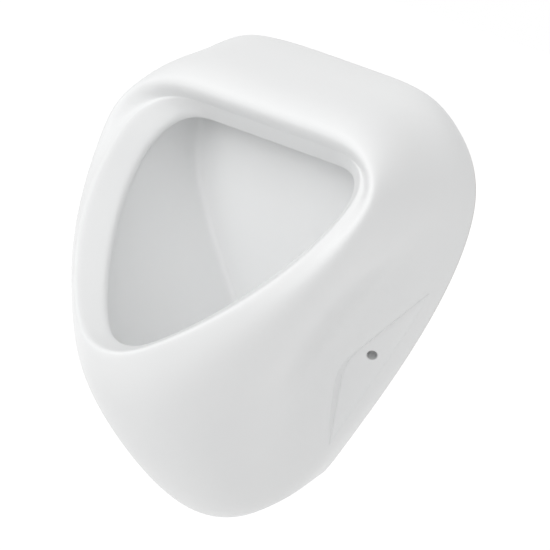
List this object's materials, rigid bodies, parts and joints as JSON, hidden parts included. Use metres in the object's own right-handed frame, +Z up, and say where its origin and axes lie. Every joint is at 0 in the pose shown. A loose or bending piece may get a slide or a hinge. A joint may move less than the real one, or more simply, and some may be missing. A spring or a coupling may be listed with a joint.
{
  "type": "wall hung urinal",
  "caption": "Wall hung urinal of glazed china with a slanted oval opening, concealed supply at the top and a concealed bottle trap with a horizontal outlet.",
  "frame": {"origin": "the point where the axis of the waste pipe meets the plane of the building wall, in the middle of the width", "axes": "+X to the right when facing the wall, +Y into the wall, +Z up; the body hangs on the -Y side of the wall"},
  "size_m": [0.3378, 0.4179, 0.4649],
  "materials": {
    "glazed_china": "gloss",
    "chrome": "polished",
    "brass": "machined",
    "steel": "zinc plated",
    "rubber": "matt",
    "white_plastic": "satin",
    "grey_plastic": "satin"
  },
  "bodies": {
    "urinal": {"urinal_body": "glazed_china", "supply_gasket": "rubber", "supply_spreader": "chrome", "supply_washer": "grey_plastic", "supply_lock_nut": "brass", "supply_cone_seal": "rubber", "supply_union_nut": "brass", "supply_pipe": "chrome", "waste_gasket": "rubber", "waste_flange": "chrome", "lower_gasket": "rubber", "waste_lock_nut": "brass", "trap_inlet_nut": "white_plastic", "trap_inlet_seal": "rubber", "trap_body": "white_plastic", "dip_tube": "white_plastic", "dip_seal": "rubber", "trap_cup": "white_plastic", "trap_cup_seal": "rubber", "branch_nut": "white_plastic", "branch_seal": "rubber", "waste_pipe": "white_plastic", "wall_sleeve": "rubber", "hanger_left": "steel", "hanger_right": "steel", "hanger_pads": "rubber", "hanger_washers": "steel", "hanger_screws": "steel", "wall_plugs": "grey_plastic"},
    "strainer": {"strainer": "chrome"}
  },
  "joints": [
    {"name": "strainer_lift", "type": "slide", "parent": "urinal", "child": "strainer", "axis": [0, 0, 1], "range_m": [0, 0.12]}
  ]
}
